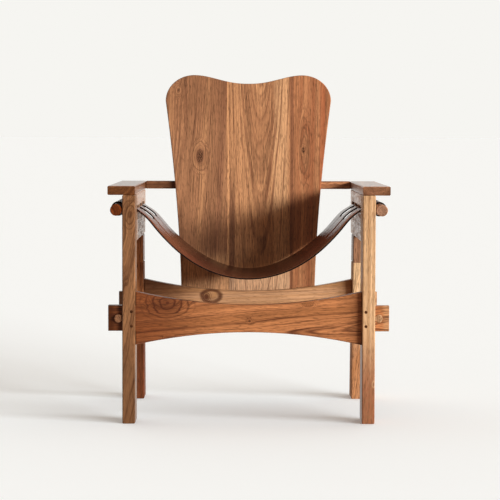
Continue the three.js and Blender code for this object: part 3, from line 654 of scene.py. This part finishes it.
class CHAIR_OT_side_frames(bpy.types.Operator):
    """Finishes the legs, slotted panels and armrests"""

    bl_idname = "chair.side_frames"
    bl_label = "Side frames"

    def execute(self, context):
        front = CHAIR_FRONT
        finish_nodes(["front_leg_left"], teak(
            "oiled_teak_front_leg_left", (-300, front + 42, 290), (0.05, 0, 1), RIGHT,
            ("#8f6340", "#795134", "#4e2e19"), seed=1,
            pith=(-70, -25), lean=(0.02, 0.2), warp=8, band=24, line=12,
            line_depth=0.9, fibre=0.2, dash=0.35,
            knots=((235, -8, 60, 30, 14, 0.4, 0), (60, -14, 70, 14, 8, 0.3, 0),
                   (-40, 20, 120, 24, 12, 0.2, 0)),
            knot_depth=(-42, 40),
            strips=((0, 80, "#5f3f28", 0.6, -160, -60),)))
        finish_nodes(["front_leg_right"], teak(
            "oiled_teak_front_leg_right", (300, front + 42, 290), UP, RIGHT,
            ("#d3ab81", "#b88d62", "#8d6140"), seed=2,
            pith=(-130, 20), warp=4, band=9, line=6, line_depth=0.4, fibre=0.2, dash=0.4,
            knots=((-250, 0, 90, 40, 26, 0.3, 0), (-190, 14, 26, 14, 10, 0.4, 0.2),
                   (235, 10, 12, 8, 6, 0.45, 0)),
            knot_depth=(-42, 40),
            strips=((0, 80, "#84462d", 0.85, -230, -20),)))
        # The left rear leg's colours are raised as painted light, since this light leaves its front in
        # shade. The darker strip at its foot takes that painted light back there.
        finish_nodes(["rear_leg_left"], teak(
            "oiled_teak_rear_leg_left", (-300, front + 490, 190), RAKE, RIGHT,
            ("#d2905f", "#aa6d44", "#70462c"), seed=3, pith=(-80, 30), band=14, line=6,
            rough=0.75, coat=0,
            strips=((0, 80, "#66301a", 0.9, -60, 40),)))
        finish_nodes(["rear_leg_right"], teak(
            "oiled_teak_rear_leg_right", (300, front + 490, 190), (0.1, *RAKE[1:]), RIGHT,
            ("#e5c097", "#cc9e6c", "#9c6c48"), seed=4, pith=(-60, 30), lean=(0.0, 0.25), band=14, line=9,
            rough=0.75, coat=0,
            strips=((0, 80, "#ac6f45", 0.85, -60, 60),)))
        # These colours are raised as painted light, since this light leaves the leg's front in shade.
        finish_nodes(["rear_leg_upper_left"], teak(
            "oiled_teak_rear_leg_upper_left", (-300, front + 460, 420), RAKE, RIGHT,
            ("#e39c63", "#b6774c", "#6e4529"), seed=5, pith=(-50, 30), band=12, line=6))
        finish_nodes(["rear_leg_upper_right"], teak(
            "oiled_teak_rear_leg_upper_right", (300, front + 460, 420), RAKE, RIGHT,
            ("#b38360", "#8f6248", "#5a3c2a"), seed=6, pith=(-50, 30), band=12, line=6))
        # The right panel's colours are paler than the left one's. Part of that is painted light on the right
        # panel's inner face, which this light leaves in shade.
        panel_tones = {"left": ("#b08868", "#8d6649", "#5a3a26"), "right": ("#d3aa84", "#b0855f", "#7c5639")}
        arm_tones = {"left": ("#90582f", "#703e1d", "#4a2710"), "right": ("#af7854", "#89583a", "#5f3926")}
        # The panels' inner faces look pale and streaked with shine. The film and the fuzz that draw this
        # are stronger than oiled teak would call for.
        for side, sign in SIDES.items():
            finish_nodes([f"side_panel_{side}"], teak(
                f"oiled_teak_side_panel_{side}", (sign * 300, front + 300, 513), BACK, UP,
                panel_tones[side], seed=7 + sign, pith=(-20, -60 * sign), lean=(0.16, 0.12),
                warp=14, band=12, line=7, line_depth=0.6, dash=0.7, rough=0.3,
                coat=1.0, coat_rough=0.17, coat_ior=1.6, fuzz=0.9, relief_depth=1.2, waves=2.0))
            finish_nodes([f"armrest_{side}"], teak(
                f"oiled_teak_armrest_{side}", (sign * 318, front + 290, 584), BACK, RIGHT,
                arm_tones[side], seed=11 + sign, pith=(sign * 12, -34), lean=(0.02, 0.03),
                warp=5, band=14, line=7, rough=0.34, coat=1.0))
        return {"FINISHED"}


class CHAIR_OT_rails(bpy.types.Operator):
    """Finishes the two seat rails, their tusk pegs and drawbore pins, and the dowels"""

    bl_idname = "chair.rails"
    bl_label = "Seat rails and pegs"

    def execute(self, context):
        front = CHAIR_FRONT
        finish_nodes(["front_seat_rail"], teak(
            "oiled_teak_front_rail", (0, front + 35, 263), (1, 0, 0.02), UP,
            ("#b77649", "#a4683e", "#4b2314"), seed=14,
            pith=(-30, 60), lean=(0.03, 0.06), warp=14, band=24, line=11,
            line_depth=0.95, fibre=0.2, dash=0.45,
            knots=((-203, 45, 80, 52, 44, 0.5, 0), (-198, 48, 22, 16, 0, 0.6, -1),
                   (2, -8, 16, 11, 8, 0.5, 0.2), (150, 34, 26, 15, 12, 0.3, 0),
                   (-200, -46, 26, 14, 10, 0.35, 0)),
            # The strip at the left tenon's end is painted shade, and the one at the right tenon's end is
            # painted light.
            strips=((0, 200, "#6a3418", 0.78, -260, -40), (0, 200, "#4f260f", 0.95, -345, -332),
                    (0, 200, "#c08a5e", 0.95, 345, 332))))
        finish_nodes(["rear_seat_rail"], teak(
            "oiled_teak_rear_rail", (0, front + 472, 263), (1, 0, -0.03), UP,
            ("#ca9970", "#b38155", "#532c1b"), seed=15,
            pith=(-30, 40), lean=(0.02, 0.07), warp=9, band=17, line=14,
            line_depth=0.5, fibre=0.16, dash=0.3,
            knots=((-101, 14, 36, 27, 20, 0.85, -1), (-114, 12, 20, 24, 0, 0.95, 0)),
            # The strip towards the left end and the one at the left tenon's end are painted shade.
            strips=((0, 200, "#7a4e32", 0.8, -240, -110), (0, 200, "#4a2c1a", 0.9, -318, -312))))
        peg_tones = {"left": ("#e0a57a", "#b07852", "#764b2f"), "right": ("#e6b385", "#c18f61", "#825a3b")}
        for seed, (side, sign) in enumerate(SIDES.items(), 16):
            finish_nodes([f"tusk_peg_{end}_{side}" for end in ("front", "rear")], teak(
                f"oiled_teak_pegs_{side}", (sign * 326, front + 30, 263), BACK, RIGHT,
                peg_tones[side], seed=seed, pith=(-10, 4), band=6, line=3))
        pins = [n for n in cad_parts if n.startswith("drawbore_pin_")]
        finish_nodes(pins, teak(
            "smoked_teak_pins", (-293, front + 30, 263), BACK, RIGHT,
            ("#7a4828", "#5a3219", "#341c0e"), seed=18, pith=(-3, 2), band=4, line=2, rough=0.7, coat=0))
        joinery = [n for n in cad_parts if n.startswith(("arm_dowel_", "leg_dowel_", "splice_tenon_"))]
        finish_nodes(joinery, teak(
            "turned_teak_dowels", (0, front, 500), UP, RIGHT,
            ("#c9a27a", "#b18a5e", "#866040"), seed=19, pith=(-6, 4), band=6, line=3, rough=0.6))
        return {"FINISHED"}


class CHAIR_OT_back_board(bpy.types.Operator):
    """Finishes the three planks of the back board, the cross bar and the screws"""

    bl_idname = "chair.back_board"
    bl_label = "Back board"

    def execute(self, context):
        up = (0, math.sin(RECLINE), math.cos(RECLINE))
        middle = CHAIR_FRONT + BOARD_FOOT_SETBACK + (BOARD_MIDDLE - BOARD_FOOT) * math.tan(RECLINE)
        foot = -(BOARD_MIDDLE - BOARD_FOOT) / math.cos(RECLINE)  # along the board from its middle
        finish_nodes(["back_plank_left"], teak(
            "oiled_teak_plank_left", (-140, middle, BOARD_MIDDLE), up, RIGHT,
            ("#ae7b54", "#8e6043", "#663f2c"), seed=20,
            pith=(-30, 60), lean=(0.0, 0.05), warp=8, band=20, line=7,
            line_depth=0.65, fibre=0.26, dash=0.46,
            knots=((foot + 432, 4, 60, 32, 36, 0.5, 0.3), (foot + 428, 8, 26, 19, 0, 0.5, -1),
                   (foot + 617, -54, 30, 18, 14, 0.35, 0.2)),
            # The strip that darkens the plank towards the sling is painted shade, and the paler one at its
            # foot, below the sling, is painted light.
            strips=((0, 120, "#764a30", 0.35, 260, 150), (0, 120, "#6b4430", 0.4, -140, -30),
                    (0, 120, "#c89468", 0.8, -190, -150), (85, 3.2, "#d79a68", 0.65, -110, -260))))
        finish_nodes(["back_plank_middle"], teak(
            "oiled_teak_plank_middle", (32, middle, BOARD_MIDDLE), up, RIGHT,
            ("#bd885d", "#a6734e", "#653b28"), seed=21,
            pith=(8, -55), lean=(-0.07, 0.0), warp=5, band=22, line=8,
            line_depth=0.75, fibre=0.28, dash=0.48,
            # The paler strip at the foot, below the sling, is painted light.
            strips=((-78, 9, "#6d4531", 0.8, -60, 120), (58, 20, "#d6a577", 0.4, *WHOLE),
                    (0, 120, "#d8ae88", 0.5, -235, -190))))
        finish_nodes(["back_plank_right"], teak(
            "oiled_teak_plank_right", (170, middle, BOARD_MIDDLE), up, RIGHT,
            ("#b27850", "#985e3d", "#68422c"), seed=22,
            pith=(-80, 60), lean=(0.0, 0.03), warp=6, band=15, line=7,
            line_depth=0.55, fibre=0.24, dash=0.45,
            knots=((foot + 450, -15, 150, 27, 30, 0.35, 0), (foot + 450, -17, 26, 15, 8, 0.5, 0.3),
                   (foot + 68, -33, 14, 11, 6, 0.3, 0.25)),
            strips=((-50, 5, "#7c4e36", 0.7, *WHOLE), (36, 8, "#a85c38", 0.5, *WHOLE))))
        finish_nodes(["back_bar"], teak(
            "oiled_teak_cross_bar", (0, CHAIR_FRONT + 560, 584), RIGHT, UP,
            ("#bb7f57", "#986040", "#633e29"), seed=23, pith=(-20, 40), band=9, line=5,
            # The strip over the left half is painted shade.
            strips=((0, 200, "#4f2d1b", 0.75, -150, 0),)))
        screws = [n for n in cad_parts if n.startswith("back_screw_")]
        finish_nodes(screws, turned_brass(context.scene.chair_colours.brass))
        glue = joint_glue()
        for plank in ("left", "middle"):
            glue_line(f"glue_line_{plank}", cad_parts[f"back_plank_{plank}"], glue)
        return {"FINISHED"}


class CHAIR_OT_rods(bpy.types.Operator):
    """Finishes the two round rods that hold the sling"""

    bl_idname = "chair.rods"
    bl_label = "Sling rods"

    def execute(self, context):
        rod_tones = {"left": ("#95481b", "#72300e", "#441a05"), "right": ("#dfaa85", "#ad7a5b", "#6f4a37")}
        for side, sign in SIDES.items():
            finish_nodes([f"sling_rod_{side}"], teak(
                f"oiled_teak_rod_{side}", (sign * ROD_MIDDLE, CHAIR_FRONT + 290, ROD_HEIGHT), BACK, RIGHT,
                rod_tones[side], seed=25 + sign, pith=(-18, 9), lean=(0.01, 0.01), warp=3,
                band=7, line=4))
        return {"FINISHED"}


class CHAIR_OT_sling(bpy.types.Operator):
    """Hangs the leather sling from its rods"""

    bl_idname = "chair.sling"
    bl_label = "Leather sling"

    def execute(self, context):
        colours = context.scene.chair_colours
        data, length, area = sling_mesh()
        hide = bpy.data.objects.new("leather_hide", data)
        context.scene.collection.objects.link(hide)
        for material in (
            waxed_leather(colours.leather),
            painted_edge(colours.edge_paint),
            shaved_flesh(colours.leather),
        ):
            data.materials.append(material)
        skin = hide.modifiers.new("thickness", "SOLIDIFY")
        skin.thickness = LEATHER_THICKNESS * MM
        skin.offset = 0
        skin.use_even_offset = True
        skin.material_offset_rim = 1
        skin.material_offset = 2
        edges = hide.modifiers.new("burnished_edges", "BEVEL")
        edges.limit_method = "ANGLE"
        edges.angle_limit = math.radians(60)
        edges.width = 0.8 * MM
        edges.segments = 2
        edges.material = 1
        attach(hide, BODY)
        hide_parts("leather_sling")
        return {"FINISHED"}


def light_room(scene, backdrop, fill_strength):
    """The light from all round: a bright backdrop behind, and a dim room with warm walls in front.

    It isn't one consistent room. The camera sees the backdrop's colour itself, and the front room's
    warmth reaches diffuse rays alone, to come nearer to the photograph's tones.
    """
    world = bpy.data.worlds.new("studio")
    world.use_nodes = True
    scene.world = world
    tree = world.node_tree
    tree.nodes.clear()
    rays = add(tree, "LightPath")
    diffuse_ray, camera_ray = rays.outputs["Is Diffuse Ray"], rays.outputs["Is Camera Ray"]
    way = add(tree, "SeparateXYZ", {0: add(tree, "TexCoord").outputs["Generated"]})
    # From 0 in front of the chair to 1 behind it.
    behind = spread(tree, way.outputs["Y"], -0.3, 0.7, 0, 1, "SMOOTHSTEP")
    soft = spread(tree, behind, 0, 1, FRONT_FILL * fill_strength, REAR_FILL * fill_strength)
    shine = spread(tree, behind, 0, 1, FRONT_SHINE, REAR_SHINE)
    lit = add(tree, "Mix", {"Factor": diffuse_ray, "A": shine, "B": soft})
    strength = add(tree, "Mix", {"Factor": camera_ray, "A": lit.outputs[0], "B": 1.0})
    walls = blend(tree, behind, linear("#ffdbc2"), backdrop)
    tint = blend(tree, diffuse_ray, backdrop, walls)
    sky = add(tree, "Background", {"Color": tint, "Strength": strength.outputs[0]})
    add(tree, "OutputWorld", {"Surface": sky.outputs[0]})


def lay_floor(scene, backdrop):
    """A plain matt floor that reaches far past the camera's view.

    It is slightly cool against the warm light, glows a little and throws no light back on the chair.
    """
    data = bpy.data.meshes.new("studio_floor")
    corners = [(-1, -1), (1, -1), (1, 1), (-1, 1)]
    data.from_pydata([(x * FLOOR_REACH, y * FLOOR_REACH, 0) for x, y in corners], [], [(0, 1, 2, 3)])
    floor = bpy.data.objects.new("studio_floor", data)
    scene.collection.objects.link(floor)
    floor.location.z = -0.5 * MM
    paper = bpy.data.materials.new("matt_studio_paper")
    paper.use_nodes = True
    tree = paper.node_tree
    tree.nodes.clear()
    matt = add(tree, "BsdfDiffuse", {"Color": linear("#eff5f6")})
    glow = add(tree, "Emission", {"Color": backdrop, "Strength": FLOOR_GLOW})
    both = add(tree, "AddShader", {0: matt.outputs[0], 1: glow.outputs[0]})
    add(tree, "OutputMaterial", {"Surface": both.outputs[0]})
    data.materials.append(paper)
    floor.visible_diffuse = False
    floor.visible_glossy = False


def hang_key_light(scene, strength):
    """A long low row of soft light from the front right, its frontal end hung lower.

    It is kept out of reflections, against glare on the armrests' tops seen from behind, so no highlight
    on the chair comes from it.
    """
    for number, turn in enumerate(KEY_TURNS):
        lamp = bpy.data.lights.new(f"key_light_{number}", "SUN")
        lamp.energy = strength / len(KEY_TURNS)
        lamp.angle = math.radians(KEY_WIDTH)
        lamp.color = linear("#f5faff")[:3]
        key = bpy.data.objects.new(f"key_light_{number}", lamp)
        key.rotation_mode = "QUATERNION"
        azimuth = math.radians(KEY_AZIMUTH + turn)
        aim = Vector((math.cos(azimuth), math.sin(azimuth), KEY_SLOPE * math.cos(azimuth)))
        key.rotation_quaternion = aim.to_track_quat("Z", "Y")
        key.visible_glossy = False
        scene.collection.objects.link(key)


def set_camera(scene):
    """The camera, with a long lens, a little above the armrests and almost straight in front."""
    yaw, pitch, roll = CAMERA_YAW, CAMERA_PITCH, CAMERA_ROLL
    ahead = Vector((math.sin(yaw) * math.cos(pitch), math.cos(yaw) * math.cos(pitch), -math.sin(pitch)))
    right = Vector((math.cos(yaw), -math.sin(yaw), 0))
    upward = right.cross(ahead)
    tilted_right = right * math.cos(roll) + upward * math.sin(roll)
    tilted_up = upward * math.cos(roll) - right * math.sin(roll)
    lens = bpy.data.cameras.new("studio_camera")
    lens.sensor_width = CAMERA_SENSOR
    lens.lens = CAMERA_LENS
    camera = bpy.data.objects.new("studio_camera", lens)
    place = Matrix((tilted_right, tilted_up, -ahead)).transposed().to_4x4()
    aside, back, height = CAMERA_PLACE
    place.translation = Vector((aside, CHAIR_FRONT + back, height)) * MM
    camera.matrix_world = place
    scene.collection.objects.link(camera)
    scene.camera = camera


class CHAIR_OT_stage(bpy.types.Operator):
    """Sets the pale floor, the soft light and the camera"""

    bl_idname = "chair.stage"
    bl_label = "Studio"

    def execute(self, context):
        scene = context.scene
        colours = scene.chair_colours
        backdrop = toned(colours.floor)
        light_room(scene, backdrop, colours.fill_strength)
        lay_floor(scene, backdrop)
        hang_key_light(scene, colours.key_strength)
        set_camera(scene)
        scene.view_settings.view_transform = "Standard"
        scene.view_settings.look = "None"
        return {"FINISHED"}


class CHAIR_PT_panel(bpy.types.Panel):
    """Lists the chair's pieces and colours"""

    bl_label = "Sling lounge chair"
    bl_idname = "CHAIR_PT_panel"
    bl_space_type = "VIEW_3D"
    bl_region_type = "UI"
    bl_category = "Chair"

    def draw(self, context):
        for kind in OPERATORS:
            self.layout.operator(kind.bl_idname)
        for name in ChairColours.__annotations__:
            self.layout.prop(context.scene.chair_colours, name)


OPERATORS = (
    CHAIR_OT_side_frames,
    CHAIR_OT_rails,
    CHAIR_OT_back_board,
    CHAIR_OT_rods,
    CHAIR_OT_sling,
    CHAIR_OT_stage,
)
CLASSES = (ChairColours, *OPERATORS, CHAIR_PT_panel)


def register():
    """Adds the classes and the chair's colours to Blender."""
    for kind in CLASSES:
        bpy.utils.register_class(kind)
    bpy.types.Scene.chair_colours = PointerProperty(type=ChairColours)


def unregister():
    """Takes away what register added."""
    del bpy.types.Scene.chair_colours
    for kind in reversed(CLASSES):
        bpy.utils.unregister_class(kind)


def main():
    """Registers the add-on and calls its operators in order."""
    register()
    bpy.ops.chair.side_frames()
    bpy.ops.chair.rails()
    bpy.ops.chair.back_board()
    bpy.ops.chair.rods()
    bpy.ops.chair.sling()
    bpy.ops.chair.stage()


if __name__ == "__main__":
    main()
